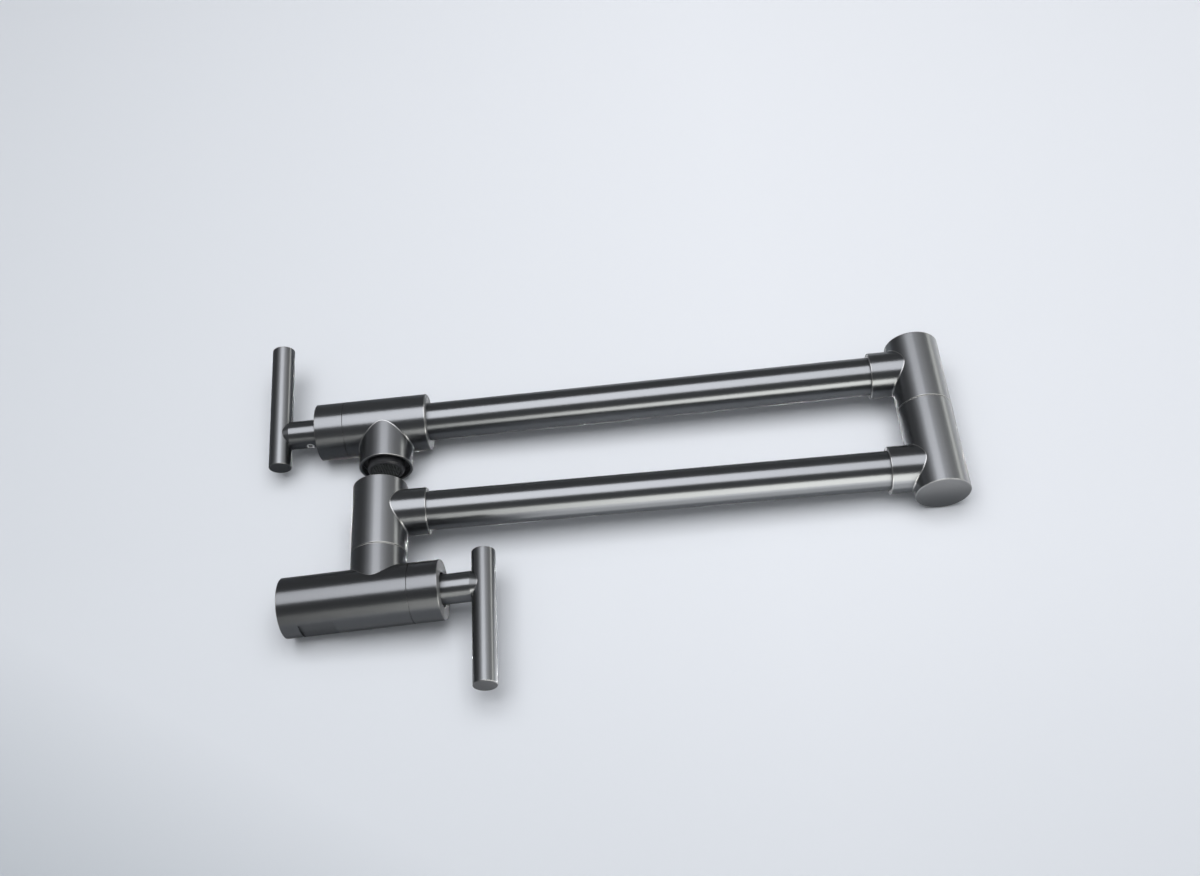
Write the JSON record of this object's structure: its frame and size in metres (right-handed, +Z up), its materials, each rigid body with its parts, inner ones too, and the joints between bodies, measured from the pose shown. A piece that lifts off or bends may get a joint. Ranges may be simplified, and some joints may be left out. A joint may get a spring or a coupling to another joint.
{
  "type": "wall mounted pot filler",
  "caption": "Wall mounted pot filler: a lever valve at the wall, a swinging lower arm, a folding upper arm and an outlet with its own lever valve and aerator.",
  "frame": {"origin": "centre of the inlet body's wall end, on the inlet thread's axis", "axes": "+X out from the wall along the inlet, +Z up, +Y to the right of someone who faces the wall; at rest the folded arms lie 4 and 2.5 degrees round from +X towards +Y"},
  "size_m": [0.3593, 0.0487, 0.2129],
  "materials": {
    "gunmetal": "satin brushed gunmetal grey metal",
    "brass": "turned brass",
    "steel": "stainless steel",
    "ceramic": "lapped white ceramic",
    "rubber": "black rubber",
    "acetal": "natural acetal plastic",
    "black_plastic": "black moulded plastic",
    "dark_plastic": "dark grey moulded plastic"
  },
  "bodies": {
    "wall_valve": {"inlet_body": "gunmetal", "riser_spigot": "brass", "riser_o_rings": "rubber", "riser_clip": "acetal", "riser_washer": "acetal", "inlet_cartridge_body": "brass", "inlet_cartridge_o_ring": "rubber", "inlet_fixed_disc": "ceramic", "inlet_seat_seal": "rubber", "inlet_bonnet_ring": "gunmetal"},
    "inlet_lever": {"inlet_spindle": "brass", "inlet_spindle_o_ring": "rubber", "inlet_spindle_clip": "steel", "inlet_moving_disc": "ceramic", "inlet_lever_stem": "gunmetal", "inlet_lever_bar": "gunmetal", "inlet_grub_screw": "steel"},
    "lower_arm": {"lower_hub": "gunmetal", "lower_tube": "gunmetal", "elbow_lower_hub": "gunmetal", "elbow_washer": "acetal"},
    "upper_arm": {"elbow_spigot": "brass", "elbow_o_rings": "rubber", "elbow_clip": "acetal", "elbow_upper_hub": "gunmetal", "upper_tube": "gunmetal", "outlet_body": "gunmetal", "outlet_cartridge_body": "brass", "outlet_cartridge_o_ring": "rubber", "outlet_fixed_disc": "ceramic", "outlet_seat_seal": "rubber", "outlet_bonnet_ring": "gunmetal", "aerator_washer": "rubber", "aerator_diffuser": "acetal", "aerator_housing": "black_plastic", "aerator_grid": "dark_plastic"},
    "outlet_lever": {"outlet_spindle": "brass", "outlet_spindle_o_ring": "rubber", "outlet_spindle_clip": "steel", "outlet_moving_disc": "ceramic", "outlet_lever_stem": "gunmetal", "outlet_lever_bar": "gunmetal", "outlet_grub_screw": "steel"}
  },
  "joints": [
    {"name": "inlet_lever_turn", "type": "hinge", "parent": "wall_valve", "child": "inlet_lever", "pos_m": [0.0798, 0, 0], "axis": [1, 0, 0], "range_deg": [0, 90]},
    {"name": "lower_arm_swing", "type": "hinge", "parent": "wall_valve", "child": "lower_arm", "pos_m": [0.047, 0, 0.0229], "axis": [0, 0, 1], "range_deg": [-94, 86]},
    {"name": "elbow_swing", "type": "hinge", "parent": "lower_arm", "child": "upper_arm", "pos_m": [0.32931, 0.01974, 0.081], "axis": [0, 0, 1], "continuous": true},
    {"name": "outlet_lever_turn", "type": "hinge", "parent": "upper_arm", "child": "outlet_lever", "pos_m": [0.04758, 0.00744, 0.1057], "axis": [-0.999, -0.0436, 0], "range_deg": [0, 90]}
  ]
}
